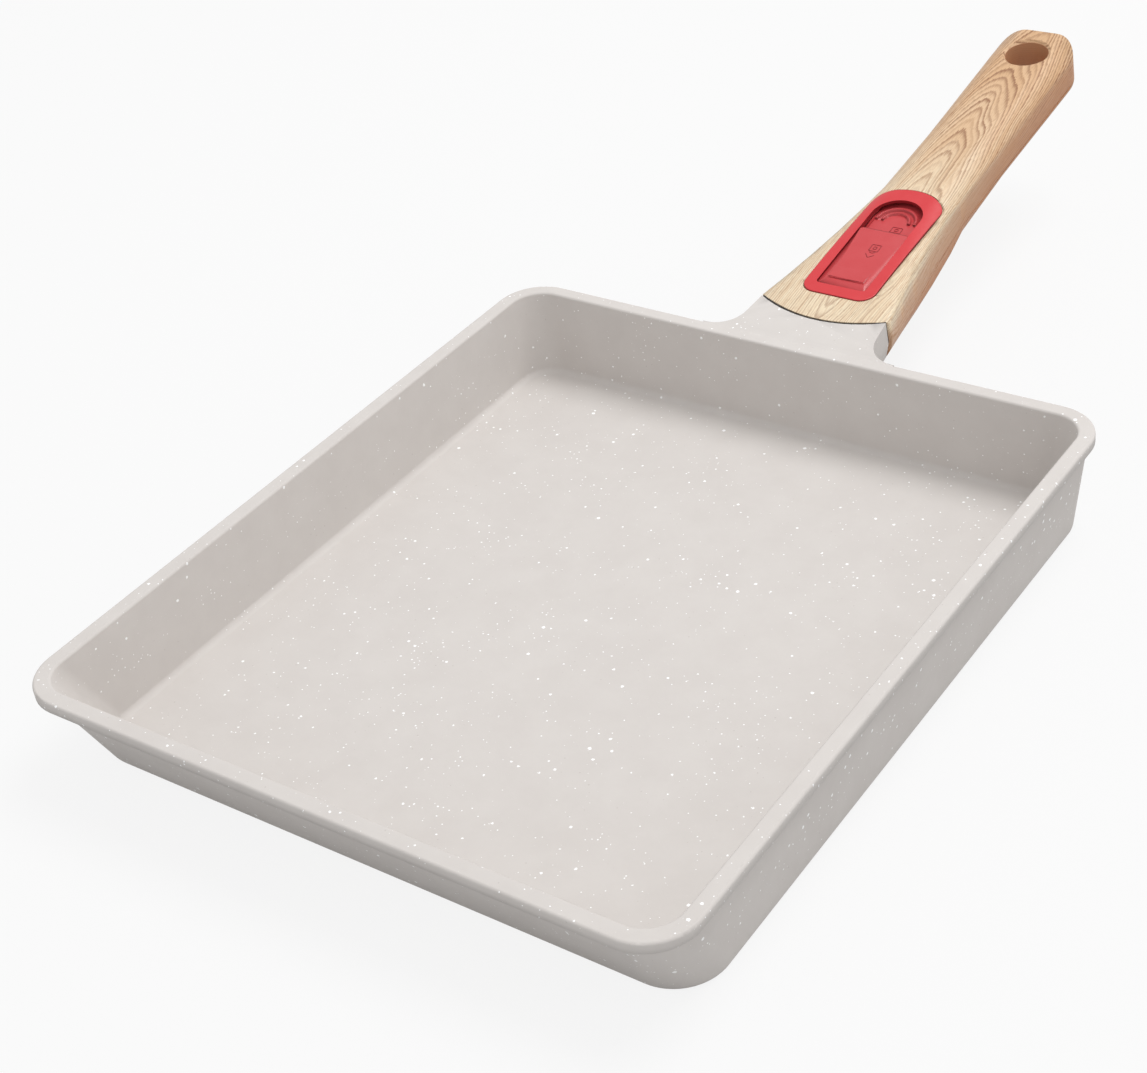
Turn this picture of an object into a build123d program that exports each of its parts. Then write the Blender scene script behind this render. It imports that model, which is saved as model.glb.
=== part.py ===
from build123d import *
from math import cos, radians, sin, tan
import os

# Rectangular egg-roll pan with a cast neck and a take-off handle.
# Frame: +X across the pan, +Y towards the handle's tail, +Z up, millimetres.
# Origin: under the middle of the rim opening, on the plane of the base.

# Pan: rim, walls and base
rim_width = 190.0
rim_length = 219.0
pan_height = 29.0
rim_corner_radius = 13.5
rim_band = 4.5
lip_thickness = 2.9
lip_overhang = 1.5
floor_thickness = 3.0
side_draft = 5.0
back_draft = 5.0
front_draft = 23.5
base_corner_radius = 13.5
base_edge_radius = 2.0
floor_corner_radius = 10.0
floor_edge_radius = 2.0
lip_outer_round = 0.8
rim_inner_round = 0.8

# Base: heat rings turned into the underside
ring_inner_radius = 22.0
ring_spacing = 15.0
ring_count = 4
ring_width = 1.4
ring_depth = 0.4

# Neck cast in one with the pan, and its tongue
handle_tilt = 9.25
neck_root_half = 22.0
neck_end_half = 20.3
neck_depth = 17.0
neck_flare_radius = 9.0
neck_low_flare_radius = 7.0
neck_low_setback = 5.5
# Levels down the neck and the share of its width left there: a round lower edge
neck_level_shares = [1.0, 0.92, 0.72, 0.45, 0.0]
neck_width_shares = [0.60, 0.81, 0.95, 1.0, 1.0]
neck_embed = 5.0
neck_end = 16.3
tongue_half = 7.5
tongue_thickness = 4.5
tongue_top_depth = 8.5
tongue_end = 50.0
tongue_nose_chamfer = 1.4
tongue_window_half = 4.6
tongue_window_start = 37.0
tongue_window_end = 45.0

# Joint face between neck and handle, a bulge towards the pan
joint_tip = 10.7
joint_radius = 42.3
joint_gap = 0.3
collar_thickness = 0.5
collar_inset = 0.25
collar_seat_gap = 0.05
collar_sleeve_wall = 0.8
collar_sleeve_length = 6.0

# Handle: outer form
handle_reach = 167.2
tail_length = 12.6
tail_corner_radius = 9.0
front_half = 21.0
grip_half = 12.9
shoulder_width = 7.5
grip_edge_depth = 4.2
front_low_round = 10.5
handle_thickness = 17.0
seam_depth = 12.0
hang_hole_radius = 6.9
hang_hole_round = 0.8
# Stations along the handle; at each one the front flare that is left, the depth of
# the edge between top and side, and the round of the lower edge
flare_station_shares = [0.045, 0.098, 0.166, 0.237, 0.32, 0.414, 0.473, 0.65]
flare_width_shares = [1.16, 1.0, 0.73, 0.49, 0.26, 0.055, 0.0, 0.0]
edge_depth_shares = [0.12, 0.17, 0.27, 0.37, 0.50, 0.62, 0.80, 1.0]
low_round_shares = [1.0, 1.0, 0.69, 0.40, 0.20, 0.18, 0.44, 0.57]
tail_flare_share = 0.06
tail_edge_share = 1.0
tail_round_share = 0.52

# Handle: space inside
fit_clearance = 0.1
running_gap = 0.3
cavity_half = 9.3
cover_cavity_half = 8.8
seam_gap = 0.15
cavity_end = 91.2
top_skin = 1.9
slider_bay_start = 23.3
slider_bay_end = 82.6
plate_seat_depth = 4.5

# Bezel round the slider
bezel_half = 11.6
bezel_start = 22.3
bezel_shoulder = 70.6
bezel_end = 75.7
bezel_front_round = 4.6
bezel_rear_round = 5.2
bezel_rise = 0.25
bezel_thickness = 1.85
bezel_edge_round = 0.3
bezel_seam = 0.3
window_half = 8.1
window_start = 26.5
window_end = 70.2
window_front_round = 1.2
clip_front_offset = 10.7
clip_rear_offset = 8.6
clip_length = 4.0
clip_inner_half = 9.4
clip_wall = 0.8
clip_drop = 1.9
clip_ledge_depth = 2.6
clip_barb = 0.4

# Lock slider with its thumb hollow
slider_travel = 9.0
slide_half = 8.8
slide_start = 23.7
slide_end = 72.6
slide_top_depth = 2.2
slide_thickness = 1.2
block_half = 7.8
block_start = 26.9
block_end = 54.9
block_top_depth = 0.1
block_round = 0.8
step_half = 5.8
step_start = 30.1
step_length = 5.5
step_height = 0.6
hollow_half = 7.1
hollow_centre = 61.8
hollow_depth = 1.7
rib_centre = 61.4
rib_outer_radius = 6.3
rib_spacing = 2.0
rib_count = 2
rib_width = 0.9
rib_height = 0.65
rib_channel_half = 7.4
rib_channel_end = 78.6
rib_channel_depth = 0.75

# Yoke under the slider, which lifts the latch
yoke_half = 6.0
yoke_start = 40.0
yoke_end = 57.0
yoke_thickness = 0.8
yoke_leg = 1.5
yoke_bar_start = 54.2
yoke_bar_thickness = 1.2
yoke_bar_top_depth = 6.4
yoke_screw_front_offset = 3.5
yoke_screw_rear_offset = 3.7
small_screw_radius = 0.9
small_head_radius = 1.7
small_head_height = 0.8
small_screw_length = 2.0
screw_fit = 0.03

# Guide plate between slider and latch
guide_start = 19.0
guide_thickness = 0.8
guide_screw_half = 6.0
guide_screw_station = 21.0
guide_head_radius = 1.8
guide_head_height = 1.0
guide_screw_bite = 2.6

# Socket liner, a folded steel tube round the tongue
liner_wall = 0.8
liner_start = 16.6
liner_end = 58.0
liner_slot_half = 6.5
liner_slot_start = 36.0

# Latch leaf with its hook and lifting bow
leaf_half = 3.8
leaf_thickness = 0.5
leaf_end = 80.6
hook_rear = 44.35
hook_depth = 11.6
hook_front = 39.6
hook_front_depth = 8.9
bow_start = 52.6
bow_end = 58.6
bow_ramp = 1.2
bow_height = 1.2
rivet_front_offset = 3.9
rivet_rear_offset = 3.1
rivet_radius = 1.2
rivet_head_radius = 2.1
rivet_head_height = 0.7
rivet_length = 3.2

# Anchor block behind the liner
block_plug_length = 5.5
anchor_end = 91.0
anchor_half = 8.6
anchor_seat_start = 67.6
anchor_seat_half = 4.4
anchor_rear_start = 82.0
anchor_depth = 13.0
anchor_screw_half = 6.4
anchor_screw_station = 87.4
anchor_screw_radius = 1.4
anchor_head_radius = 2.0
anchor_head_height = 1.3
anchor_screw_bite = 2.4
washer_thickness = 0.6
liner_pin_radius = 1.25
liner_pin_station = 55.2

# Ball detent of the slider
detent_half = 6.5
detent_station = 70.5
ball_radius = 1.4
ball_depth = 4.5
detent_hole_radius = 1.5
detent_hole_depth = 11.6
detent_groove_depth = 0.4
detent_pocket_depth = 0.6
detent_spring_radius = 0.95
detent_wire_radius = 0.18
detent_coils = 5

# Steel core of the grip and the screws of the bottom cover
core_half = 4.2
core_start = 84.6
core_top_depth = 7.5
core_thickness = 2.5
cover_screw_front_offset = 7.0
cover_screw_rear_offset = 28.6
core_overhang = 6.0
cover_screw_radius = 1.4
cover_head_radius = 2.7
cover_head_height = 1.5
cover_counterbore = 2.0
cover_screw_top_depth = 4.6
cover_boss_radius = 3.4

# One overrun serves every cut that has to pass a face
cut_overrun = 6.0
chamfer_slope = 45.0
half_turn = 180.0
edge_tolerance = 0.05

# Places worked out from the sizes above
sine = sin(radians(handle_tilt))
cosine = cos(radians(handle_tilt))
handle_axis = Vector(0, cosine, sine)
handle_frame = Plane(
    origin=(0, rim_length / 2, pan_height), x_dir=(1, 0, 0), z_dir=(0, -sine, cosine)
)
side_plane = Plane(origin=handle_frame.origin, x_dir=handle_axis, z_dir=(1, 0, 0))
along = Axis(handle_frame.origin, handle_axis)
upwards = Axis(handle_frame.origin, handle_frame.z_dir)
joint_centre = joint_tip + joint_radius
collar_face_radius = joint_radius - joint_gap
collar_back_radius = collar_face_radius - collar_thickness
tail_half = grip_half + (front_half - grip_half) * tail_flare_share
hang_station = handle_reach - tail_length
seam_level = -seam_depth
tongue_bottom_depth = tongue_top_depth + tongue_thickness
liner_inner_half = tongue_half + running_gap
liner_outer_half = liner_inner_half + liner_wall
liner_inner_top = tongue_top_depth - running_gap
liner_outer_top = liner_inner_top - liner_wall
liner_inner_bottom = tongue_bottom_depth + running_gap
liner_outer_bottom = liner_inner_bottom + liner_wall
slide_bottom_depth = slide_top_depth + slide_thickness
yoke_bottom_depth = slide_bottom_depth + yoke_thickness
guide_bottom_depth = plate_seat_depth + guide_thickness
leaf_level = -(liner_outer_top - leaf_thickness / 2 - fit_clearance)
pocket_floor = bezel_rise - bezel_thickness
collar_sleeve_end = liner_start + collar_sleeve_length
sleeve_outer_half = liner_outer_half + fit_clearance + collar_sleeve_wall
sleeve_top_depth = liner_outer_top - fit_clearance - collar_sleeve_wall
sleeve_bottom_depth = liner_outer_bottom + fit_clearance + collar_sleeve_wall
leaf_seat_level = leaf_level - leaf_thickness / 2
core_bottom_depth = core_top_depth + core_thickness
counterbore_level = -handle_thickness + cover_counterbore
anchor_counterbore = anchor_head_height + washer_thickness
yoke_bar_bottom_depth = yoke_bar_top_depth + yoke_bar_thickness
rib_radii = [rib_outer_radius - index * rib_spacing for index in range(rib_count)]
window_round_centre = window_end - window_half
clip_stations = [bezel_start + clip_front_offset, bezel_shoulder - clip_rear_offset]
cover_screw_stations = [
    anchor_end + cover_screw_front_offset,
    hang_station - cover_screw_rear_offset,
]
core_end = cover_screw_stations[-1] + core_overhang
rivet_stations = [anchor_seat_start + rivet_front_offset, leaf_end - rivet_rear_offset]
yoke_screw_stations = [
    yoke_start + yoke_screw_front_offset,
    yoke_bar_start - yoke_screw_rear_offset,
]
hang_place = [(0, hang_station)]
cover_screw_places = [(0, station) for station in cover_screw_stations]
rivet_places = [(0, station) for station in rivet_stations]
yoke_screw_places = [(0, station) for station in yoke_screw_stations]
anchor_screw_places = [(side * anchor_screw_half, anchor_screw_station) for side in (-1, 1)]
guide_screw_places = [(side * guide_screw_half, guide_screw_station) for side in (-1, 1)]
detent_places = [(side * detent_half, detent_station) for side in (-1, 1)]
detent_far_places = [(x, station - slider_travel) for x, station in detent_places]


def tray_outline(level, side_inset, front_inset, back_inset, corner_radius):
    """Rounded rectangle inside the rim's outline, with its own inset on each side."""
    width = rim_width - 2 * side_inset
    length = rim_length - front_inset - back_inset
    with BuildSketch(Plane.XY.offset(level)) as outline:
        with Locations((0, (front_inset - back_inset) / 2)):
            RectangleRounded(width, length, corner_radius)
    return outline.sketch


def drafted_tray(low, rim_inset, low_corner_radius, rim_corner):
    """Loft of the tray between a level and the rim, each wall with its own draft."""
    drop = pan_height - low
    side_inset = rim_inset + drop * tan(radians(side_draft))
    front_inset = rim_inset + drop * tan(radians(front_draft))
    back_inset = rim_inset + drop * tan(radians(back_draft))
    lower = tray_outline(low, side_inset, front_inset, back_inset, low_corner_radius)
    upper = tray_outline(pan_height, rim_inset, rim_inset, rim_inset, rim_corner)
    loft([lower, upper], ruled=True)


def slab(half_width, start, end, low, high, mode=Mode.ADD):
    """Block between two stations and two levels of the handle."""
    with BuildSketch(handle_frame.offset(low)) as footprint:
        with Locations((0, (start + end) / 2)):
            Rectangle(2 * half_width, end - start)
    extrude(footprint.sketch, amount=high - low, mode=mode)


def rounds(places, radius, low, high, mode=Mode.ADD):
    """Round bars or holes square to the handle's top, between two levels."""
    with BuildSketch(handle_frame.offset(low)) as circles:
        with Locations(*places):
            Circle(radius)
    extrude(circles.sketch, amount=high - low, mode=mode)


def cones(places, radius, low, height, slope, mode=Mode.ADD):
    """Cones or countersinks square to the handle's top; a slope below zero widens them."""
    with BuildSketch(handle_frame.offset(low)) as circles:
        with Locations(*places):
            Circle(radius)
    extrude(circles.sketch, amount=height, taper=slope, mode=mode)


def ears(inner_half, outer_half, start, end, low, high, mode=Mode.ADD):
    """Two blocks alike, one on each side of the handle's middle."""
    middle = (inner_half + outer_half) / 2
    with BuildSketch(handle_frame.offset(low)) as footprints:
        with Locations((-middle, (start + end) / 2), (middle, (start + end) / 2)):
            Rectangle(outer_half - inner_half, end - start)
    extrude(footprints.sketch, amount=high - low, mode=mode)


def section_plane(station):
    """Plane across the handle: its y is the handle's upward direction."""
    origin = handle_frame.from_local_coords(Vector(0, station, 0))
    return Plane(origin=origin, x_dir=(1, 0, 0), z_dir=-handle_axis)


def grip_section(station, flare_share, edge_share, round_share):
    """Cross-section of the handle: flat top, soft shoulders, upright sides."""
    half = grip_half + (front_half - grip_half) * flare_share
    flat_half = half - shoulder_width
    edge_level = -grip_edge_depth * edge_share
    with BuildSketch(section_plane(station)) as section:
        with BuildLine():
            Line((-flat_half, 0), (flat_half, 0))
            TangentArc((flat_half, 0), (half, edge_level), tangent=(1, 0))
            Polyline(
                (half, edge_level),
                (half, -handle_thickness),
                (-half, -handle_thickness),
                (-half, edge_level),
            )
            TangentArc((-flat_half, 0), (-half, edge_level), tangent=(-1, 0))
        make_face()
        corners = section.vertices().sort_by(Axis.Y)
        fillet(corners[:2], front_low_round * round_share)
    return section.sketch


def beyond_joint(radius, level_high, level_low):
    """Cut all that lies on the pan's side of the joint cylinder of a radius."""
    with BuildSketch(handle_frame.offset(level_low)) as outside:
        with Locations((0, (joint_centre - 2 * cut_overrun) / 2)):
            Rectangle(2 * joint_radius, joint_centre + 2 * cut_overrun)
        with Locations((0, joint_centre)):
            Circle(radius, mode=Mode.SUBTRACT)
    extrude(outside.sketch, amount=level_high - level_low, mode=Mode.SUBTRACT)


def neck_outline(level, root, root_half, end_half, flare_radius):
    """Neck seen from above: a waist that flares with round corners into the rim."""
    flare_half = root_half + flare_radius + fit_clearance
    with BuildSketch(handle_frame.offset(level)) as outline:
        with BuildLine():
            Polyline(
                (-flare_half + neck_embed, root - neck_embed),
                (-flare_half, root),
                (-root_half, root),
                (-end_half, neck_end),
                (end_half, neck_end),
                (root_half, root),
                (flare_half, root),
                (flare_half - neck_embed, root - neck_embed),
                close=True,
            )
        make_face()
        inner = [v for v in outline.vertices() if abs(abs(v.X) - root_half) < fit_clearance]
        fillet(inner, flare_radius)
    return outline.sketch


def bezel_outline(level, growth):
    """Outline of the bezel: round front corners and a softly arched tail end."""
    half = bezel_half + growth
    start = bezel_start - growth
    shoulder = bezel_shoulder + growth
    end = bezel_end + growth
    with BuildSketch(handle_frame.offset(level)) as outline:
        with BuildLine():
            Polyline((-half, shoulder), (-half, start), (half, start), (half, shoulder))
            ThreePointArc((half, shoulder), (0, end), (-half, shoulder))
        make_face()
        corners = outline.vertices().sort_by(Axis.Y)
        fillet(corners[:2], bezel_front_round + growth)
        corners = outline.vertices().sort_by(Axis.Y)
        fillet(corners[-2:], bezel_rear_round + growth)
    return outline.sketch


def window_outline(level):
    """Outline of the window that the slider runs in, round at the tail end."""
    with BuildSketch(handle_frame.offset(level)) as outline:
        with Locations((0, window_end - window_half)):
            Circle(window_half)
        with Locations((0, (window_start + window_end - window_half) / 2)):
            Rectangle(2 * window_half, window_end - window_half - window_start)
        corners = outline.vertices().sort_by(Axis.Y)
        fillet(corners[:2], window_front_round)
    return outline.sketch


# Hollow of the pan, cut out of the casting
with BuildPart() as pan_hollow:
    drafted_tray(
        floor_thickness, rim_band, floor_corner_radius, rim_corner_radius - rim_band
    )
    fillet(pan_hollow.edges().group_by(Axis.Z)[0], floor_edge_radius)

# Rim lip, rounded before the neck joins it
with BuildPart() as rim_lip:
    extrude(
        tray_outline(pan_height - lip_thickness, 0, 0, 0, rim_corner_radius),
        amount=lip_thickness,
    )
    fillet(rim_lip.edges().group_by(Axis.Z)[-1], lip_outer_round)

# Neck, with its concave end face
with BuildPart() as neck:
    loft(
        [
            neck_outline(
                -neck_depth * level_share,
                -neck_low_setback * level_share,
                neck_root_half * width_share,
                neck_end_half * width_share,
                neck_flare_radius + (neck_low_flare_radius - neck_flare_radius) * level_share,
            )
            for level_share, width_share in zip(neck_level_shares, neck_width_shares)
        ],
        ruled=True,
    )
    rounds([(0, joint_centre)], joint_radius, -neck_depth - cut_overrun, cut_overrun,
           Mode.SUBTRACT)
    slab(tongue_half, joint_tip - neck_embed, tongue_end, -tongue_bottom_depth,
         -tongue_top_depth)
    nose = neck.faces().sort_by(along)[-1]
    chamfer(nose.edges(), tongue_nose_chamfer)
    slab(tongue_window_half, tongue_window_start, tongue_window_end,
         -tongue_bottom_depth - cut_overrun, 0, Mode.SUBTRACT)

# Pan body: tray, lip, neck and tongue in one casting
with BuildPart() as pan_body:
    drafted_tray(0, lip_overhang, base_corner_radius, rim_corner_radius - lip_overhang)
    fillet(pan_body.edges().group_by(Axis.Z)[0], base_edge_radius)
    add(rim_lip.part)
    add(neck.part)
    add(pan_hollow.part, mode=Mode.SUBTRACT)
    inner_half_width = rim_width / 2 - rim_band + fit_clearance
    inner_half_length = rim_length / 2 - rim_band + fit_clearance
    rim_edges = pan_body.edges().filter_by_position(
        Axis.Z, pan_height - edge_tolerance, pan_height + edge_tolerance
    )
    inner_rim = [
        edge
        for edge in rim_edges
        if edge.bounding_box().max.X < inner_half_width
        and edge.bounding_box().min.X > -inner_half_width
        and edge.bounding_box().max.Y < inner_half_length
        and edge.bounding_box().min.Y > -inner_half_length
    ]
    fillet(inner_rim, rim_inner_round)
    with BuildSketch(Plane.XY) as heat_rings:
        for index in reversed(range(ring_count)):
            radius = ring_inner_radius + index * ring_spacing
            Circle(radius + ring_width)
            Circle(radius, mode=Mode.SUBTRACT)
    extrude(heat_rings.sketch, amount=ring_depth, mode=Mode.SUBTRACT)
pan_body.part.label = "pan_body"

# Tail of the handle: round corners seen from above, with the shoulders running on
with BuildPart() as tail_form:
    with BuildSketch(handle_frame.offset(-handle_thickness)) as tail_plan:
        with Locations((0, (hang_station + handle_reach) / 2)):
            Rectangle(2 * tail_half, tail_length)
        corners = tail_plan.vertices().sort_by(Axis.Y)
        fillet(corners[-2:], tail_corner_radius)
    extrude(tail_plan.sketch, amount=handle_thickness)
    low_edges = tail_form.edges().group_by(upwards)[0].sort_by(along)[1:]
    fillet(low_edges, front_low_round * tail_round_share)
    tail_section = grip_section(
        hang_station, tail_flare_share, tail_edge_share, tail_round_share
    )
    extrude(tail_section, amount=-handle_reach, mode=Mode.INTERSECT)

# Outer form of the handle, front to tail; both shells are cut from it
with BuildPart() as grip_form:
    sections = [
        grip_section(station_share * handle_reach, width_share, edge_share, round_share)
        for station_share, width_share, edge_share, round_share in zip(
            flare_station_shares, flare_width_shares, edge_depth_shares, low_round_shares
        )
    ]
    loft(sections + [tail_section], ruled=True)
    add(tail_form.part)
    beyond_joint(collar_back_radius - collar_seat_gap, cut_overrun,
                 -handle_thickness - cut_overrun)

# Upper shell: the wood-effect grip with its bay for the mechanism
with BuildPart() as handle_upper_shell:
    add(grip_form.part)
    slab(front_half + cut_overrun, -cut_overrun, handle_reach + cut_overrun,
         -handle_thickness - cut_overrun, seam_level, Mode.SUBTRACT)
    slab(cavity_half, joint_tip, cavity_end, seam_level, -plate_seat_depth, Mode.SUBTRACT)
    slab(cavity_half, slider_bay_start, slider_bay_end, -plate_seat_depth, -top_skin,
         Mode.SUBTRACT)
    extrude(bezel_outline(pocket_floor, bezel_seam), amount=cut_overrun, mode=Mode.SUBTRACT)
    slab(cavity_half, slider_bay_start, bezel_shoulder, -top_skin, cut_overrun,
         Mode.SUBTRACT)
    slab(rib_channel_half, bezel_shoulder, rib_channel_end, -top_skin,
         -rib_channel_depth, Mode.SUBTRACT)
    for station in clip_stations:
        slab(clip_inner_half + clip_wall + fit_clearance, station - clip_length / 2,
             station + clip_length / 2, -clip_ledge_depth, 0, Mode.SUBTRACT)
        slab(clip_inner_half + clip_wall + clip_barb + fit_clearance,
             station - clip_length / 2, station + clip_length / 2, -plate_seat_depth,
             -clip_ledge_depth, Mode.SUBTRACT)
    slab(sleeve_outer_half + fit_clearance, joint_tip, collar_sleeve_end + running_gap,
         seam_level, -sleeve_top_depth + fit_clearance, Mode.SUBTRACT)
    slab(core_half + fit_clearance, anchor_end - cut_overrun, core_end + running_gap,
         seam_level, -core_top_depth, Mode.SUBTRACT)
    rounds(hang_place, hang_hole_radius, seam_level - cut_overrun, cut_overrun,
           Mode.SUBTRACT)
    cones(hang_place, hang_hole_radius, -hang_hole_round, cut_overrun, -chamfer_slope,
          Mode.SUBTRACT)
    rounds(cover_screw_places, cover_screw_radius + screw_fit, seam_level,
           -cover_screw_top_depth, Mode.SUBTRACT)
    rounds(anchor_screw_places, anchor_screw_radius + screw_fit, -plate_seat_depth,
           -plate_seat_depth + anchor_screw_bite, Mode.SUBTRACT)
    rounds(guide_screw_places, small_screw_radius + screw_fit, -plate_seat_depth,
           -plate_seat_depth + guide_screw_bite, Mode.SUBTRACT)

# Bottom cover of the handle, with bosses that hold the steel core up
with BuildPart() as handle_bottom_cover:
    add(grip_form.part)
    slab(front_half + cut_overrun, -cut_overrun, handle_reach + cut_overrun,
         seam_level - seam_gap, cut_overrun, Mode.SUBTRACT)
    slab(cover_cavity_half, joint_tip, liner_end + running_gap,
         -liner_outer_bottom - fit_clearance, seam_level, Mode.SUBTRACT)
    slab(sleeve_outer_half + fit_clearance, joint_tip, collar_sleeve_end + running_gap,
         -sleeve_bottom_depth - fit_clearance, seam_level, Mode.SUBTRACT)
    slab(cover_cavity_half, joint_tip, cavity_end, -anchor_depth - fit_clearance,
         seam_level, Mode.SUBTRACT)
    rounds(cover_screw_places, cover_boss_radius, seam_level - running_gap,
           -core_bottom_depth - fit_clearance)
    rounds(cover_screw_places, cover_screw_radius + screw_fit, -handle_thickness, 0,
           Mode.SUBTRACT)
    rounds(cover_screw_places, cover_head_radius + running_gap,
           -handle_thickness - cut_overrun, counterbore_level, Mode.SUBTRACT)
    rounds(hang_place, hang_hole_radius, -handle_thickness - cut_overrun, 0,
           Mode.SUBTRACT)
    cones(hang_place, hang_hole_radius + hang_hole_round + cut_overrun,
          -handle_thickness - cut_overrun, cut_overrun + hang_hole_round, chamfer_slope,
          Mode.SUBTRACT)

# Front collar: a curved face plate with a sleeve round the liner
with BuildPart() as front_collar:
    with BuildSketch(handle_frame.offset(-neck_depth)) as face_ring:
        with Locations((0, joint_centre)):
            Circle(collar_face_radius)
            Circle(collar_back_radius, mode=Mode.SUBTRACT)
    extrude(face_ring.sketch, amount=neck_depth)
    with BuildSketch(section_plane(0)) as face_section:
        with BuildLine():
            right_side = [
                (neck_end_half * width_share, -neck_depth * level_share)
                for level_share, width_share in zip(neck_level_shares, neck_width_shares)
            ]
            left_side = [(-across, level) for across, level in reversed(right_side)]
            Polyline(*right_side, *left_side, close=True)
        make_face()
        offset(amount=-collar_inset, kind=Kind.INTERSECTION, mode=Mode.REPLACE)
    extrude(face_section.sketch, amount=-joint_centre, mode=Mode.INTERSECT)
    slab(sleeve_outer_half, joint_tip, collar_sleeve_end, -sleeve_bottom_depth,
         -sleeve_top_depth)
    beyond_joint(collar_face_radius, 0, -neck_depth)
    slab(liner_inner_half, 0, joint_centre, -liner_inner_bottom, -liner_inner_top,
         Mode.SUBTRACT)
    slab(liner_outer_half + fit_clearance, liner_start - fit_clearance, joint_centre,
         -liner_outer_bottom - fit_clearance, -liner_outer_top + fit_clearance,
         Mode.SUBTRACT)

# Socket liner: steel tube that takes the tongue, open on top for the latch
with BuildPart() as socket_liner:
    slab(liner_outer_half, liner_start, liner_end, -liner_outer_bottom, -liner_outer_top)
    slab(liner_inner_half, liner_start, liner_end, -liner_inner_bottom, -liner_inner_top,
         Mode.SUBTRACT)
    slab(liner_slot_half, liner_slot_start, liner_end, -liner_inner_top - fit_clearance,
         0, Mode.SUBTRACT)
    with BuildSketch(side_plane) as pin_bore:
        with Locations((liner_pin_station, -(tongue_top_depth + tongue_bottom_depth) / 2)):
            Circle(liner_pin_radius + screw_fit)
    extrude(pin_bore.sketch, amount=cavity_half, both=True, mode=Mode.SUBTRACT)

# Anchor block: takes the liner, the latch, the guide plate and the core
with BuildPart() as anchor_block:
    slab(tongue_half, liner_end - block_plug_length, anchor_seat_start,
         -tongue_bottom_depth, -tongue_top_depth)
    slab(anchor_half, liner_end + fit_clearance, anchor_end, -anchor_depth,
         -tongue_top_depth)
    slab(anchor_half, anchor_seat_start, anchor_end, -tongue_top_depth, leaf_seat_level)
    ears(anchor_seat_half, anchor_half, anchor_seat_start, anchor_end, leaf_seat_level,
         -guide_bottom_depth)
    slab(anchor_half, anchor_rear_start, anchor_end, leaf_seat_level,
         -guide_bottom_depth)
    slab(core_half + fit_clearance, core_start - fit_clearance, anchor_end,
         -core_bottom_depth, -core_top_depth, Mode.SUBTRACT)
    rounds(anchor_screw_places, anchor_screw_radius + screw_fit, -anchor_depth, 0,
           Mode.SUBTRACT)
    rounds(anchor_screw_places, anchor_head_radius + screw_fit, -anchor_depth,
           -anchor_depth + anchor_counterbore, Mode.SUBTRACT)
    rounds(rivet_places, rivet_radius + screw_fit, leaf_level - rivet_length, 0,
           Mode.SUBTRACT)
    rounds(detent_places, detent_hole_radius, -detent_hole_depth, 0, Mode.SUBTRACT)
    extrude(pin_bore.sketch, amount=cavity_half, both=True, mode=Mode.SUBTRACT)

# Pin across the liner and the plug of the anchor block
with BuildPart() as liner_pin:
    with BuildSketch(side_plane) as pin_end:
        with Locations((liner_pin_station, -(tongue_top_depth + tongue_bottom_depth) / 2)):
            Circle(liner_pin_radius)
    extrude(pin_end.sketch, amount=liner_outer_half, both=True)

# Guide plate: steel strip that the slider runs on, slotted for the yoke's legs
with BuildPart() as guide_plate:
    slab(anchor_half, guide_start, anchor_end, -guide_bottom_depth, -plate_seat_depth)
    ears(yoke_half - yoke_leg - running_gap, yoke_half + running_gap,
         yoke_bar_start - running_gap, yoke_end + slider_travel + running_gap,
         -guide_bottom_depth, 0, Mode.SUBTRACT)
    rounds(detent_places, detent_hole_radius, -guide_bottom_depth, 0, Mode.SUBTRACT)
    rounds(anchor_screw_places, anchor_screw_radius + screw_fit, -guide_bottom_depth, 0,
           Mode.SUBTRACT)
    rounds(guide_screw_places, small_screw_radius + screw_fit, -guide_bottom_depth, 0,
           Mode.SUBTRACT)

# Screws at the front of the guide plate, driven from below
with BuildPart() as guide_screws:
    rounds(guide_screw_places, guide_head_radius, -guide_bottom_depth - guide_head_height,
           -guide_bottom_depth)
    rounds(guide_screw_places, small_screw_radius, -guide_bottom_depth,
           -plate_seat_depth + guide_screw_bite - fit_clearance)

# Anchor screws, through block and guide plate into the upper shell
with BuildPart() as anchor_screws:
    rounds(anchor_screw_places, anchor_head_radius - fit_clearance, -anchor_depth,
           -anchor_depth + anchor_head_height)
    rounds(anchor_screw_places, anchor_screw_radius, -anchor_depth + anchor_head_height,
           -plate_seat_depth + anchor_screw_bite - fit_clearance)

# Spring washers under the heads of the anchor screws
with BuildPart() as anchor_washers:
    rounds(anchor_screw_places, anchor_head_radius - fit_clearance,
           -anchor_depth + anchor_head_height, -anchor_depth + anchor_counterbore)
    rounds(anchor_screw_places, anchor_screw_radius + screw_fit,
           -anchor_depth + anchor_head_height, -anchor_depth + anchor_counterbore,
           Mode.SUBTRACT)

# Latch leaf: riveted at its tail, bowed over the yoke's bar, hooked at its front
with BuildPart() as latch_spring:
    with BuildSketch(side_plane) as leaf_profile:
        with BuildLine():
            Polyline(
                (leaf_end, leaf_level),
                (bow_end, leaf_level),
                (bow_end - bow_ramp, leaf_level + bow_height),
                (bow_start + bow_ramp, leaf_level + bow_height),
                (bow_start, leaf_level),
                (hook_rear, leaf_level),
                (hook_rear, -hook_depth),
                (hook_front, -hook_front_depth),
            )
            offset(amount=leaf_thickness / 2, side=Side.BOTH)
        make_face()
    extrude(leaf_profile.sketch, amount=leaf_half, both=True)
    rounds(rivet_places, rivet_radius + screw_fit, leaf_seat_level, 0, Mode.SUBTRACT)

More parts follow.
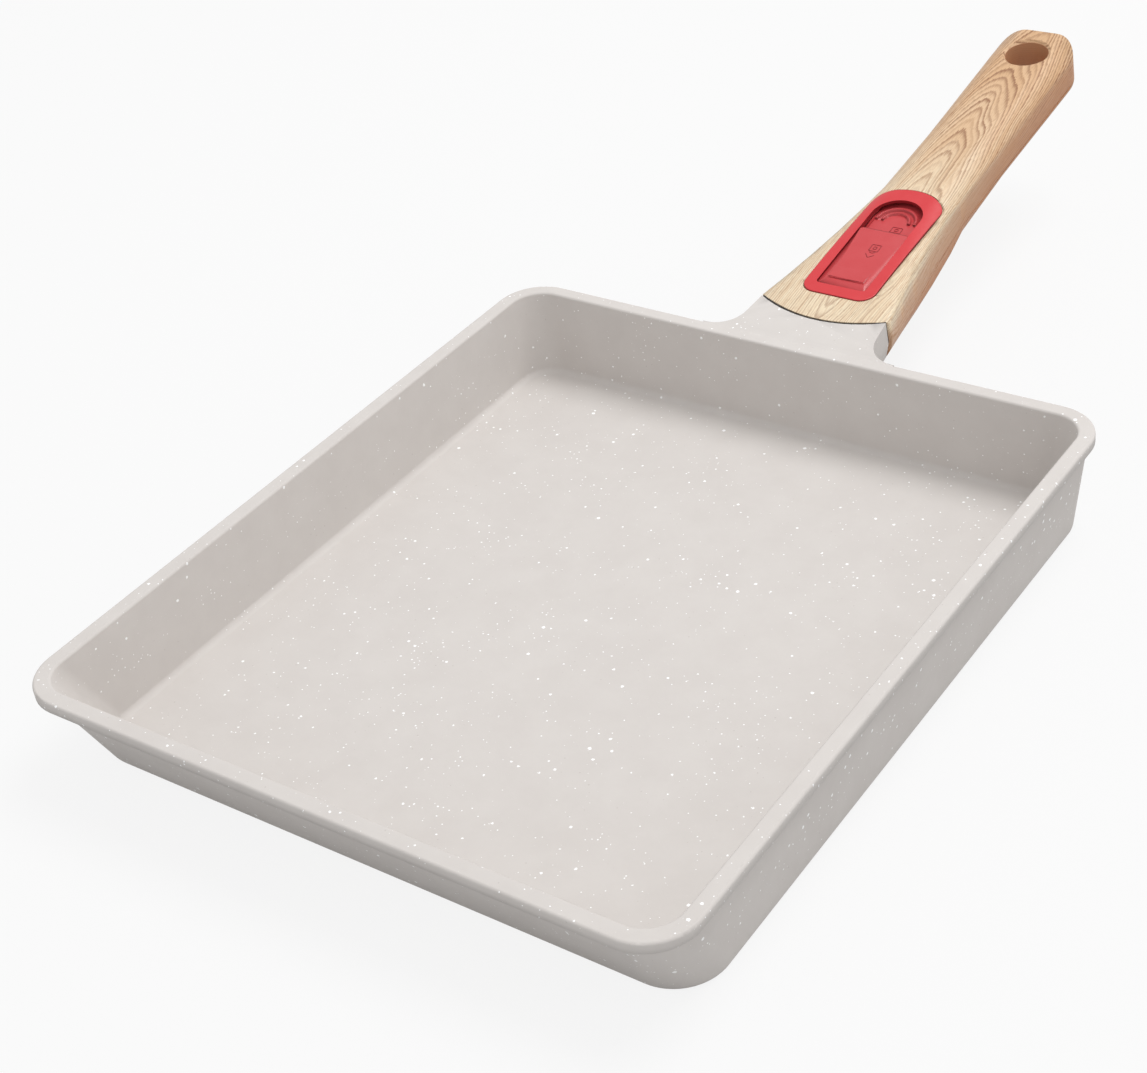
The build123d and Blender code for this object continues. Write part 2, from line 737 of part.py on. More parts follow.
# Rivets that hold the latch leaf on the anchor block
with BuildPart() as latch_rivets:
    rounds(rivet_places, rivet_radius, leaf_level - rivet_length + fit_clearance,
           leaf_level + leaf_thickness / 2)
    rounds(rivet_places, rivet_head_radius, leaf_level + leaf_thickness / 2,
           leaf_level + leaf_thickness / 2 + rivet_head_height)

# Detent balls, in holes of the anchor block
with BuildPart() as detent_balls:
    with Locations(
        *[
            handle_frame.from_local_coords(Vector(x, station, -ball_depth))
            for x, station in detent_places
        ]
    ):
        Sphere(ball_radius)

# Detent springs under the balls
coil_height = detent_hole_depth - ball_depth - ball_radius - 2 * running_gap
with BuildPart() as detent_springs:
    for x, station in detent_places:
        foot = handle_frame.from_local_coords(
            Vector(x, station, -detent_hole_depth + running_gap)
        )
        with BuildLine() as coil:
            Helix(
                pitch=coil_height / detent_coils,
                height=coil_height,
                radius=detent_spring_radius,
                center=foot,
                direction=handle_frame.z_dir,
            )
        with BuildSketch(Plane(origin=coil.line @ 0, z_dir=coil.line % 0)) as wire_end:
            Circle(detent_wire_radius)
        sweep(wire_end.sketch, path=coil.line, is_frenet=True)

# Steel core of the grip, from the anchor block into the tail half
with BuildPart() as grip_core:
    slab(core_half, core_start, core_end, -core_bottom_depth, -core_top_depth)
    rounds(cover_screw_places, cover_screw_radius + screw_fit, -core_bottom_depth, 0,
           Mode.SUBTRACT)

# Screws of the bottom cover, through the core into the upper shell
with BuildPart() as cover_screws:
    rounds(cover_screw_places, cover_head_radius, counterbore_level - cover_head_height,
           counterbore_level)
    rounds(cover_screw_places, cover_screw_radius, counterbore_level,
           -cover_screw_top_depth - fit_clearance)

# Bezel round the slider, with four snap legs; its top follows the handle's
with BuildPart() as slider_bezel:
    extrude(bezel_outline(pocket_floor, 0), amount=bezel_thickness + cut_overrun)
    add(grip_form.part.moved(Location(bezel_rise * handle_frame.z_dir)), mode=Mode.INTERSECT)
    side_faces = [
        face
        for face in slider_bezel.faces()
        if abs(face.normal_at().dot(handle_frame.z_dir)) < edge_tolerance
    ]
    fillet([face.edges().sort_by(upwards)[-1] for face in side_faces], bezel_edge_round)
    extrude(window_outline(pocket_floor), amount=cut_overrun, mode=Mode.SUBTRACT)
    slab(rib_channel_half, window_round_centre, bezel_end + cut_overrun, pocket_floor,
         -rib_channel_depth, Mode.SUBTRACT)
    for station in clip_stations:
        ears(clip_inner_half, clip_inner_half + clip_wall,
             station - clip_length / 2 + running_gap, station + clip_length / 2 - running_gap,
             pocket_floor - clip_drop, pocket_floor)
        ears(clip_inner_half + clip_wall, clip_inner_half + clip_wall + clip_barb,
             station - clip_length / 2 + running_gap, station + clip_length / 2 - running_gap,
             pocket_floor - clip_drop, -clip_ledge_depth - fit_clearance)

# Lock slider: flat front block and a thumb hollow with two arched ribs
with BuildPart() as lock_button:
    slab(slide_half, slide_start, slide_end, -slide_bottom_depth, -slide_top_depth)
    slab(block_half, block_start, block_end, -slide_top_depth, -block_top_depth)
    corners = lock_button.edges().filter_by(Axis((0, 0, 0), handle_frame.z_dir))
    inner_corners = [
        edge for edge in corners if abs(edge.center().X) < (block_half + slide_half) / 2
    ]
    fillet(inner_corners, block_round)
    with BuildSketch(side_plane) as step_profile:
        with BuildLine():
            Polyline(
                (step_start, -slide_top_depth),
                (step_start, -block_top_depth + step_height),
                (step_start + step_length, -block_top_depth),
                (step_start + step_length, -slide_top_depth),
                close=True,
            )
        make_face()
    extrude(step_profile.sketch, amount=step_half, both=True)
    with BuildSketch(handle_frame.offset(-slide_top_depth)) as hollow_floor:
        with Locations((0, hollow_centre)):
            Circle(hollow_half)
        with Locations((0, (block_end + hollow_centre) / 2)):
            Rectangle(2 * hollow_half, hollow_centre - block_end)
    extrude(hollow_floor.sketch, amount=slide_top_depth - hollow_depth)
    with BuildSketch(handle_frame.offset(-hollow_depth)) as thumb_ribs:
        with Locations((0, rib_centre)):
            for radius in rib_radii:
                Circle(radius + rib_width / 2)
                Circle(radius - rib_width / 2, mode=Mode.SUBTRACT)
        with Locations((0, rib_centre - block_half / 2)):
            Rectangle(2 * block_half, block_half, mode=Mode.SUBTRACT)
    extrude(thumb_ribs.sketch, amount=rib_height)
    for x, station in detent_places:
        groove_start = station - slider_travel
        with BuildSketch(handle_frame.offset(-slide_bottom_depth)) as groove:
            with Locations((x, (groove_start + station) / 2)):
                SlotCenterToCenter(slider_travel, 2 * detent_hole_radius, rotation=90)
        extrude(groove.sketch, amount=detent_groove_depth, mode=Mode.SUBTRACT)
    rounds(detent_places + detent_far_places, detent_hole_radius - running_gap,
           -slide_bottom_depth, -slide_bottom_depth + detent_pocket_depth, Mode.SUBTRACT)
    rounds(yoke_screw_places, small_screw_radius + screw_fit, -slide_bottom_depth,
           -slide_bottom_depth + small_screw_length, Mode.SUBTRACT)

# Yoke screwed under the slider: two legs and a bar that lifts the latch leaf
with BuildPart() as slider_yoke:
    slab(yoke_half, yoke_start, yoke_end, -yoke_bottom_depth, -slide_bottom_depth)
    ears(yoke_half - yoke_leg, yoke_half, yoke_bar_start, yoke_end,
         -yoke_bar_bottom_depth, -yoke_bottom_depth)
    slab(yoke_half, yoke_bar_start, yoke_end, -yoke_bar_bottom_depth, -yoke_bar_top_depth)
    cones(yoke_screw_places, small_head_radius + screw_fit, -yoke_bottom_depth,
          small_head_height, chamfer_slope, Mode.SUBTRACT)

# Countersunk screws of the yoke
with BuildPart() as yoke_screws:
    cones(yoke_screw_places, small_head_radius, -yoke_bottom_depth, small_head_height,
          chamfer_slope)
    rounds(yoke_screw_places, small_screw_radius, -slide_bottom_depth,
           -slide_bottom_depth + small_screw_length - fit_clearance)

pieces = {
    "pan_body": pan_body,
    "handle_upper_shell": handle_upper_shell,
    "handle_bottom_cover": handle_bottom_cover,
    "front_collar": front_collar,
    "socket_liner": socket_liner,
    "anchor_block": anchor_block,
    "liner_pin": liner_pin,
    "guide_plate": guide_plate,
    "guide_screws": guide_screws,
    "anchor_screws": anchor_screws,
    "anchor_washers": anchor_washers,
    "latch_spring": latch_spring,
    "latch_rivets": latch_rivets,
    "detent_balls": detent_balls,
    "detent_springs": detent_springs,
    "grip_core": grip_core,
    "cover_screws": cover_screws,
    "slider_bezel": slider_bezel,
    "lock_button": lock_button,
    "slider_yoke": slider_yoke,
    "yoke_screws": yoke_screws,
}
os.makedirs("parts", exist_ok=True)
for name, piece in pieces.items():
    piece.part.label = name
    export_step(piece.part, f"parts/{name}.step")
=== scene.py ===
import logging
import math
from dataclasses import dataclass
from enum import Enum
from typing import Sequence, Union

import bmesh
import bpy
from mathutils import Matrix, Vector


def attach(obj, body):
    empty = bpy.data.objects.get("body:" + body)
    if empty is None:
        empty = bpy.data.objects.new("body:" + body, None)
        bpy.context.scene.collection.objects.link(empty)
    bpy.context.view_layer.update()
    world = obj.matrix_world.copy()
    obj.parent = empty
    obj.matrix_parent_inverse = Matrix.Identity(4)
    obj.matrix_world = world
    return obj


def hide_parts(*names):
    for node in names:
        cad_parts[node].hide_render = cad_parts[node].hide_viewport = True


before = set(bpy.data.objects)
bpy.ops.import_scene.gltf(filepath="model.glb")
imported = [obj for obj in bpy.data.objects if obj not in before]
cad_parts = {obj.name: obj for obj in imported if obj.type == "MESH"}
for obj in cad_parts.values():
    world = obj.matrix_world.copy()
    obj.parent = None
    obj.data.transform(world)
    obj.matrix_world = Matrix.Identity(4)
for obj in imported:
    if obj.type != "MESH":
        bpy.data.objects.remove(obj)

log = logging.getLogger("tamagoyaki_pan")

Colour = tuple[float, float, float]
Socket = bpy.types.NodeSocket
Input = Union[Socket, float, Sequence[float]]
Point = tuple[float, float]
Line = tuple[Point, ...]
Stops = tuple[tuple[float, float], ...]

MM = 0.001
DOUBLES_GAP = 0.002 * MM
SLIVER_GAP = 0.0005 * MM
NOISE_MEAN = 0.5
WHITE: Colour = (1.0, 1.0, 1.0)


class Body(Enum):
    """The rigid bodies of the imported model."""

    PAN = "pan"
    HANDLE = "handle"
    SLIDER = "lock_slider"


def srgb(red: int, green: int, blue: int) -> Colour:
    """Turn a colour as a screen shows it into the linear one that shaders take.

    Args:
        red: Red from 0 to 255.
        green: Green from 0 to 255.
        blue: Blue from 0 to 255.

    Returns:
        The linear colour.
    """

    def linear(level: int) -> float:
        """One channel, screen value to linear."""
        share = level / 255
        return share / 12.92 if share <= 0.04045 else ((share + 0.055) / 1.055) ** 2.4

    return linear(red), linear(green), linear(blue)


@dataclass(frozen=True)
class HandleAxes:
    """The handle's own axes: across, along towards its tail, and up out of its top."""

    rim_half_length: float = 109.5 * MM
    rim_height: float = 29.0 * MM
    tilt: float = math.radians(9.25)

    def matrix(self) -> Matrix:
        """Matrix from the handle's axes to the row frame."""
        start = Matrix.Translation((0.0, self.rim_half_length, self.rim_height))
        return start @ Matrix.Rotation(self.tilt, 4, "X")

    def up(self) -> Vector:
        """Direction out of the handle's top."""
        return Vector((0.0, -math.sin(self.tilt), math.cos(self.tilt)))

    def place(self, across: float, along: float, up: float) -> Vector:
        """Turn a place on the handle into the row frame.

        Args:
            across: Millimetres across the handle.
            along: Millimetres from the rim towards the tail.
            up: Millimetres out of the handle's top.

        Returns:
            The place in metres.
        """
        return self.matrix() @ Vector((across * MM, along * MM, up * MM))


AXES = HandleAxes()


class NodeBuilder:
    """A node tree while it is being built. The prefix is what its node types' names share."""

    prefix: str = ""

    def __init__(self, tree: bpy.types.NodeTree) -> None:
        """Take a tree and clear it.

        Args:
            tree: The tree to build in.
        """
        self.nodes = tree.nodes
        self.links = tree.links
        self.nodes.clear()

    def add(self, kind: str, inputs: dict[Union[str, int], Input] | None = None,
            **settings: object) -> bpy.types.Node:
        """Add a node, set its properties and fill or join its inputs.

        Args:
            kind: The node's type without the prefix.
            inputs: Input name or number to a value or to another node's output.
            **settings: Properties of the node.

        Returns:
            The new node.
        """
        node = self.nodes.new(self.prefix + kind)
        for key, value in settings.items():
            setattr(node, key, value)
        for key, value in (inputs or {}).items():
            socket = node.inputs[key]
            if isinstance(value, bpy.types.NodeSocket):
                self.links.new(value, socket)
            elif isinstance(value, (tuple, list)) and socket.type == "RGBA":
                socket.default_value = (*value[:3], 1.0)
            else:
                socket.default_value = value
        return node


class ShaderTree(NodeBuilder):
    """The node tree of a material or of the world while it is being built."""

    prefix: str = "ShaderNode"

    def __init__(self, owner: Union[bpy.types.Material, bpy.types.World]) -> None:
        """Start an empty tree.

        Args:
            owner: The material or world that gets the tree.
        """
        owner.use_nodes = True
        super().__init__(owner.node_tree)
        self.owner = owner

    def math(self, operation: str, first: Input, second: Input = 0.0, clamp: bool = False) -> Socket:
        """Join two values by a sum, a product or another operation.

        Args:
            operation: The operation's name.
            first: The first value.
            second: The second value.
            clamp: Whether the result stays between 0 and 1.

        Returns:
            The result's socket.
        """
        return self.add("Math", {0: first, 1: second}, operation=operation, use_clamp=clamp).outputs[0]

    def blend(self, share: Input, first: Input, second: Input, how: str = "MIX") -> Socket:
        """Mix two colours.

        Args:
            share: How much of the second colour there is.
            first: The first colour.
            second: The second colour.
            how: The blend's name.

        Returns:
            The mixed colour's socket.
        """
        inputs = {0: share, 6: first, 7: second}
        return self.add("Mix", inputs, data_type="RGBA", blend_type=how).outputs[2]

    def ramp(self, value: Input, stops: Stops) -> Socket:
        """Remap a value along a ramp of grey stops.

        Args:
            value: The value to remap.
            stops: Place and grey level of each stop.

        Returns:
            The remapped value's socket.
        """
        node = self.add("ValToRGB", {0: value})
        elements = node.color_ramp.elements
        ends = (stops[0], stops[-1])
        for element, (place, level) in zip(elements, ends):
            element.position = place
            element.color = (level, level, level, 1.0)
        for place, level in stops[1:-1]:
            elements.new(place).color = (level, level, level, 1.0)
        return node.outputs[0]

    def noise(self, place: Input, scale: float, detail: float, roughness: float = 0.5) -> bpy.types.Node:
        """Add a cloudy noise.

        Args:
            place: Coordinates to read.
            scale: Clouds for each unit of the coordinates.
            detail: Finer octaves on top of the first.
            roughness: Strength of each octave beside the one before.

        Returns:
            The noise's node.
        """
        inputs = {"Vector": place, "Scale": scale, "Detail": detail, "Roughness": roughness}
        return self.add("TexNoise", inputs)

    def stretched(self, place: Socket, scale: Sequence[float],
                  start: Sequence[float] = (0.0, 0.0, 0.0)) -> Socket:
        """Scale coordinates along each axis.

        Args:
            place: Coordinates to scale.
            scale: Factor along each axis.
            start: Offset added after the scaling.

        Returns:
            The scaled coordinates.
        """
        return self.add("Mapping", {"Vector": place, "Scale": scale, "Location": start}).outputs[0]

    def coordinates(self) -> Socket:
        """Object coordinates in metres, the same as the row frame."""
        return self.add("TexCoord").outputs["Object"]

    def normals(self) -> Socket:
        """Direction that the surface faces, in the row frame."""
        return self.add("TexCoord").outputs["Normal"]

    def handle_coordinates(self) -> Socket:
        """Turn Object coordinates to the handle's own axes.

        Returns:
            The coordinates in millimetres.
        """
        inverse = AXES.matrix().inverted()
        mapping = self.add(
            "Mapping",
            {
                "Vector": self.coordinates(),
                "Location": tuple(inverse.translation / MM),
                "Rotation": (-AXES.tilt, 0.0, 0.0),
                "Scale": (1 / MM, 1 / MM, 1 / MM),
            },
        )
        return mapping.outputs[0]

    def finish(self, colour: Input, roughness: Input, height: Socket, bump: float, depth: float,
               metallic: float = 0.0) -> bpy.types.Material:
        """Close a material's tree with a surface shader.

        Args:
            colour: Base colour.
            roughness: Roughness.
            height: Height for the bump.
            bump: Strength of the bump.
            depth: Distance of the bump in metres.
            metallic: How far it is a metal.

        Returns:
            The finished material.
        """
        relief = self.add("Bump", {"Strength": bump, "Distance": depth, "Height": height}).outputs[0]
        inputs = {"Base Color": colour, "Roughness": roughness, "Metallic": metallic, "Normal": relief}
        self.add("OutputMaterial", {"Surface": self.add("BsdfPrincipled", inputs).outputs[0]})
        return self.owner


@dataclass(frozen=True)
class Scatter:
    """One kind of fleck, in metres: its spacing, its largest radius and where its pattern starts."""

    cell: float
    radius: float
    start: float


@dataclass(frozen=True)
class StoneCoating:
    """Greige stone-effect coating with white flecks, as sprayed on cast pans."""

    name: str = "stone_coating"
    base: Colour = srgb(209, 204, 200)
    shade: Colour = srgb(200, 194, 190)
    white_fleck: Colour = srgb(253, 253, 253)
    dark_fleck: Colour = srgb(184, 176, 171)
    large: Scatter = Scatter(cell=2.9 * MM, radius=0.56 * MM, start=0.11)
    small: Scatter = Scatter(cell=1.5 * MM, radius=0.27 * MM, start=0.23)
    dark: Scatter = Scatter(cell=2.1 * MM, radius=0.27 * MM, start=0.37)
    ragged_waves: float = 1.6
    ragged_share: float = 0.9
    small_bias: float = 1.2
    edge_sharpness: float = 40.0
    cluster_size: float = 22.0 * MM
    cluster_stops: Stops = ((0.38, 0.6), (0.6, 1.0))
    mottle_scale: float = 90.0
    mottle_stops: Stops = ((0.35, 0.0), (0.65, 1.0))
    shade_share: float = 0.35
    dark_share: float = 0.5
    grain_scale: float = 2600.0
    fleck_height: float = 0.6
    roughness: float = 0.85
    roughness_spread: float = 0.12
    bump: float = 0.25
    relief: float = 0.04 * MM

    def flecks(self, tree: ShaderTree, kind: Scatter) -> Socket:
        """Scatter round flecks of varied size that gather in loose clusters.

        Args:
            tree: The tree to build in.
            kind: The kind of fleck.

        Returns:
            A mask that is 1 on a fleck.
        """
        start = (kind.start,) * 3
        moved = tree.add("VectorMath", {0: tree.coordinates(), 1: start}, operation="ADD").outputs[0]
        warp = tree.noise(moved, self.ragged_waves / kind.radius, detail=1.0).outputs["Color"]
        reach = (kind.radius * self.ragged_share,) * 3
        bent = tree.add("VectorMath", {0: warp, 1: reach, 2: moved}, operation="MULTIPLY_ADD").outputs[0]
        cells = tree.add("TexVoronoi", {"Vector": bent, "Scale": 1 / kind.cell}, feature="F1")
        chance = tree.add("SeparateColor", {0: cells.outputs["Color"]}).outputs[0]
        crowd = tree.noise(moved, 1 / self.cluster_size, detail=1.0).outputs[0]
        size = tree.math("MULTIPLY", tree.math("POWER", chance, self.small_bias), kind.radius / kind.cell)
        size = tree.math("MULTIPLY", size, tree.ramp(crowd, self.cluster_stops))
        inside = tree.math("SUBTRACT", size, cells.outputs["Distance"])
        return tree.math("MULTIPLY", inside, self.edge_sharpness, clamp=True)

    def build(self) -> bpy.types.Material:
        """Build the coating.

        Returns:
            Its material.
        """
        tree = ShaderTree(bpy.data.materials.new(self.name))
        mottle = tree.noise(tree.coordinates(), self.mottle_scale, detail=4.0, roughness=0.6).outputs[0]
        tone = tree.ramp(mottle, self.mottle_stops)
        colour = tree.blend(tree.math("MULTIPLY", tone, self.shade_share), self.base, self.shade)
        dark = self.flecks(tree, self.dark)
        colour = tree.blend(tree.math("MULTIPLY", dark, self.dark_share), colour, self.dark_fleck)
        white = tree.math("MAXIMUM", self.flecks(tree, self.large), self.flecks(tree, self.small))
        colour = tree.blend(white, colour, self.white_fleck)
        grain = tree.noise(tree.coordinates(), self.grain_scale, detail=2.0).outputs[0]
        height = tree.math("ADD", grain, tree.math("MULTIPLY", white, self.fleck_height))
        sheen = tree.math("MULTIPLY", mottle, self.roughness_spread)
        rough = tree.math("ADD", sheen, self.roughness - self.roughness_spread / 2)
        return tree.finish(colour, rough, height, bump=self.bump, depth=self.relief)


@dataclass(frozen=True)
class WoodPrint:
    """Light wood-grain print: nested arches along the handle with fine fibres.

    Lengths are in millimetres on the handle's axes.
    """

    name: str = "wood_print"
    cream: Colour = srgb(234, 220, 192)
    tan: Colour = srgb(220, 184, 146)
    honey: Colour = srgb(205, 164, 122)
    brown: Colour = srgb(130, 80, 46)
    # Brown of the sides: partly the print's darker tone, partly painted shade.
    flank_print_and_shade: Colour = srgb(172, 106, 56)
    # Painted shade inside the hanging hole.
    hole_shade: Colour = srgb(192, 142, 106)
    length: float = 167.0
    thickness: float = 17.0
    hole_along: float = 154.6
    hole_radius: float = 6.97
    pith_along: float = 56.0
    pith_slope: float = 0.128
    pith_depth: float = 1.5
    ring_gap: float = 0.72
    ring_drift: float = 7.0
    ring_wander: float = 4.4
    ring_feather: float = 0.8
    drift_scale: tuple[float, float, float] = (0.09, 0.02, 0.09)
    drift_start: tuple[float, float, float] = (3.1, 1.7, 0.4)
    fibre_scale: tuple[float, float, float] = (2.8, 0.075, 2.8)
    pore_scale: tuple[float, float, float] = (5.5, 0.33, 5.5)
    year_scale: float = 3.7
    season_scale: float = 0.31
    streak_stops: Stops = ((0.4, 0.0), (0.62, 1.0))
    late_stops: Stops = ((0.0, 0.0), (0.4, 0.12), (0.82, 1.0), (0.93, 0.8), (1.0, 0.0))
    year_stops: Stops = ((0.32, 0.35), (0.6, 1.0))
    season_stops: Stops = ((0.42, 0.0), (0.6, 1.0))
    tail_stops: Stops = ((0.1, 0.0), (0.45, 0.15), (0.62, 0.65), (0.85, 1.0))
    pore_stops: Stops = ((0.6, 0.0), (0.68, 1.0))
    flank_print_and_shade_stops: Stops = ((0.16, 0.0), (0.34, 0.6), (0.62, 0.75), (0.85, 1.0))
    streak_share: float = 0.42
    belt_share: float = 0.15
    belt_tail_share: float = 0.45
    line_share: float = 0.52
    line_tail_share: float = 0.42
    pore_share: float = 0.4
    flank_print_and_shade_share: float = 0.9
    hole_shade_share: float = 0.85
    fibre_groove: float = 0.5
    line_groove: float = 0.4
    roughness: float = 0.46
    roughness_spread: float = 0.1
    bump: float = 0.2
    relief: float = 0.06 * MM

    def rings(self, tree: ShaderTree, place: Socket, fibre: Socket) -> tuple[Socket, Socket]:
        """Count the year rings of a trunk whose pith rises slowly towards the tail.

        Args:
            tree: The tree to build in.
            place: Handle coordinates in millimetres.
            fibre: Fine noise that feathers the rings.

        Returns:
            The ring's number and the share of the way across it.
        """
        slow = tree.stretched(place, self.drift_scale, self.drift_start)
        drift = tree.noise(slow, scale=1.0, detail=1.0).outputs[0]
        across, along, up = tree.add("SeparateXYZ", {0: place}).outputs
        rise = tree.math("MULTIPLY", tree.math("SUBTRACT", along, self.pith_along), self.pith_slope)
        deep = tree.math("SUBTRACT", rise, tree.math("SUBTRACT", up, self.pith_depth))
        sideways = tree.math("MULTIPLY", tree.math("SUBTRACT", drift, NOISE_MEAN), self.ring_drift)
        side = tree.math("ADD", across, sideways)
        squares = tree.math("ADD", tree.math("MULTIPLY", side, side), tree.math("MULTIPLY", deep, deep))
        wander = tree.math("MULTIPLY", drift, self.ring_wander)
        feather = tree.math("MULTIPLY", fibre, self.ring_feather)
        reach = tree.math("ADD", tree.math("SQRT", squares), tree.math("ADD", wander, feather))
        count = tree.math("DIVIDE", reach, self.ring_gap)
        return tree.math("FLOOR", count), tree.math("FRACT", count)

    def grain(self, tree: ShaderTree, place: Socket, fibre: Socket) -> tuple[Socket, Socket]:
        """Draw the dark line of each year ring and the belts of darker years.

        Args:
            tree: The tree to build in.
            place: Handle coordinates in millimetres.
            fibre: Fine noise that feathers the rings.

        Returns:
            Strength of the lines and of the belts.
        """
        number, phase = self.rings(tree, place, fibre)
        year = tree.add("TexNoise", {"W": number, "Scale": self.year_scale}, noise_dimensions="1D")
        late = tree.ramp(phase, self.late_stops)
        line = tree.math("MULTIPLY", late, tree.ramp(year.outputs[0], self.year_stops))
        season = tree.add(
            "TexNoise", {"W": number, "Scale": self.season_scale, "Detail": 1.0}, noise_dimensions="1D"
        )
        return line, tree.ramp(season.outputs[0], self.season_stops)

    def in_hole(self, tree: ShaderTree, across: Socket, along: Socket) -> Socket:
        """Find the hanging hole.

        Args:
            tree: The tree to build in.
            across: Millimetres across the handle.
            along: Millimetres along the handle.

        Returns:
            A mask that is 1 on the hole's inner face, which gets painted shade.
        """
        off = tree.math("SUBTRACT", along, self.hole_along)
        away = tree.math("ADD", tree.math("MULTIPLY", off, off), tree.math("MULTIPLY", across, across))
        return tree.math("LESS_THAN", away, self.hole_radius**2)

    def build(self) -> bpy.types.Material:
        """Build the print.

        Returns:
            Its material.
        """
        tree = ShaderTree(bpy.data.materials.new(self.name))
        place = tree.handle_coordinates()
        across, along, up = tree.add("SeparateXYZ", {0: place}).outputs
        thin = tree.stretched(place, self.fibre_scale)
        fibre = tree.noise(thin, scale=1.0, detail=5.0, roughness=0.68).outputs[0]
        streak = tree.ramp(fibre, self.streak_stops)
        line, band = self.grain(tree, place, fibre)
        tail = tree.ramp(tree.math("DIVIDE", along, self.length), self.tail_stops)
        colour = tree.blend(tail, self.cream, self.tan)
        colour = tree.blend(tree.math("MULTIPLY", streak, self.streak_share), colour, self.honey)
        belt = tree.math("ADD", tree.math("MULTIPLY", tail, self.belt_tail_share), self.belt_share)
        colour = tree.blend(tree.math("MULTIPLY", band, belt), colour, self.honey)
        dark = tree.math("ADD", tree.math("MULTIPLY", tail, self.line_tail_share), self.line_share)
        colour = tree.blend(tree.math("MULTIPLY", line, dark), colour, self.brown)
        pore = tree.noise(tree.stretched(place, self.pore_scale), scale=1.0, detail=2.0).outputs[0]
        dash = tree.math("MULTIPLY", tree.ramp(pore, self.pore_stops), self.pore_share)
        colour = tree.blend(dash, colour, self.brown)
        # Darker brown towards the handle's underside: partly the print's darker sides, partly painted
        # shade on the side faces and along the lower edge.
        low_print_and_shade = tree.ramp(tree.math("MULTIPLY", up, -1 / self.thickness), self.flank_print_and_shade_stops)
        colour = tree.blend(tree.math("MULTIPLY", low_print_and_shade, self.flank_print_and_shade_share), colour, self.flank_print_and_shade)
        # Painted shade: the hanging hole's inner face is darkened to a deeper brown.
        inside = self.in_hole(tree, across, along)
        colour = tree.blend(tree.math("MULTIPLY", inside, self.hole_shade_share), colour, self.hole_shade)
        grooves = tree.math("MULTIPLY", fibre, -self.fibre_groove)
        height = tree.math("ADD", grooves, tree.math("MULTIPLY", line, -self.line_groove))
        sheen = tree.math("MULTIPLY", streak, self.roughness_spread)
        rough = tree.math("ADD", sheen, self.roughness - self.roughness_spread / 2)
        return tree.finish(colour, rough, height, bump=self.bump, depth=self.relief)


@dataclass(frozen=True)
class MouldedPlastic:
    """Moulded plastic with the fine satin grain of its mould; the darkening on its steep walls is painted
    shade.
    """

    name: str
    colour: Colour
    rubbed: Colour
    # Painted shade: colour, share and ramp of the darkening on faces that turn away from the handle's up.
    wall_shade: Colour = srgb(96, 14, 20)
    wall_shade_share: float = 0.7
    wall_shade_stops: Stops = ((0.35, 1.0), (0.8, 0.0))
    cloud_scale: float = 210.0
    cloud_stops: Stops = ((0.4, 0.0), (0.7, 1.0))
    rubbed_share: float = 0.4
    grain_scale: float = 3200.0
    roughness: float = 0.36
    roughness_spread: float = 0.14
    bump: float = 0.15
    relief: float = 0.03 * MM

    def build(self) -> bpy.types.Material:
        """Build the plastic.

        Returns:
            Its material.
        """
        tree = ShaderTree(bpy.data.materials.new(self.name))
        cloud = tree.noise(tree.coordinates(), self.cloud_scale, detail=3.0).outputs[0]
        tone = tree.ramp(cloud, self.cloud_stops)
        colour = tree.blend(tree.math("MULTIPLY", tone, self.rubbed_share), self.colour, self.rubbed)
        # Painted shade: faces that turn away from the handle's up are mixed towards a dark colour, so
        # seams and gap sides read dark.
        facing = tree.add("VectorMath", {0: tree.normals(), 1: tuple(AXES.up())}, operation="DOT_PRODUCT")
        steep = tree.ramp(facing.outputs["Value"], self.wall_shade_stops)
        colour = tree.blend(tree.math("MULTIPLY", steep, self.wall_shade_share), colour, self.wall_shade)
        grain = tree.noise(tree.coordinates(), self.grain_scale, detail=1.0).outputs[0]
        sheen = tree.math("MULTIPLY", cloud, self.roughness_spread)
        rough = tree.math("ADD", sheen, self.roughness - self.roughness_spread / 2)
        return tree.finish(colour, rough, grain, bump=self.bump, depth=self.relief)


@dataclass(frozen=True)
class BareMetal:
    """Bare metal with drawn or cast marks along one direction."""

    name: str
    colour: Colour
    roughness: float
    mark_scale: tuple[float, float, float]
    mark_stops: Stops = ((0.35, 0.8), (0.65, 1.0))
    roughness_spread: float = 0.2
    bump: float = 0.15
    relief: float = 0.03 * MM

    def build(self) -> bpy.types.Material:
        """Build the metal.

        Returns:
            Its material.
        """
        tree = ShaderTree(bpy.data.materials.new(self.name))
        place = tree.stretched(tree.handle_coordinates(), self.mark_scale)
        marks = tree.noise(place, scale=1.0, detail=4.0, roughness=0.6).outputs[0]
        colour = tree.blend(1.0, self.colour, tree.ramp(marks, self.mark_stops), "MULTIPLY")
        sheen = tree.math("MULTIPLY", marks, self.roughness_spread)
        rough = tree.math("ADD", sheen, self.roughness - self.roughness_spread / 2)
        return tree.finish(colour, rough, marks, bump=self.bump, depth=self.relief, metallic=1.0)


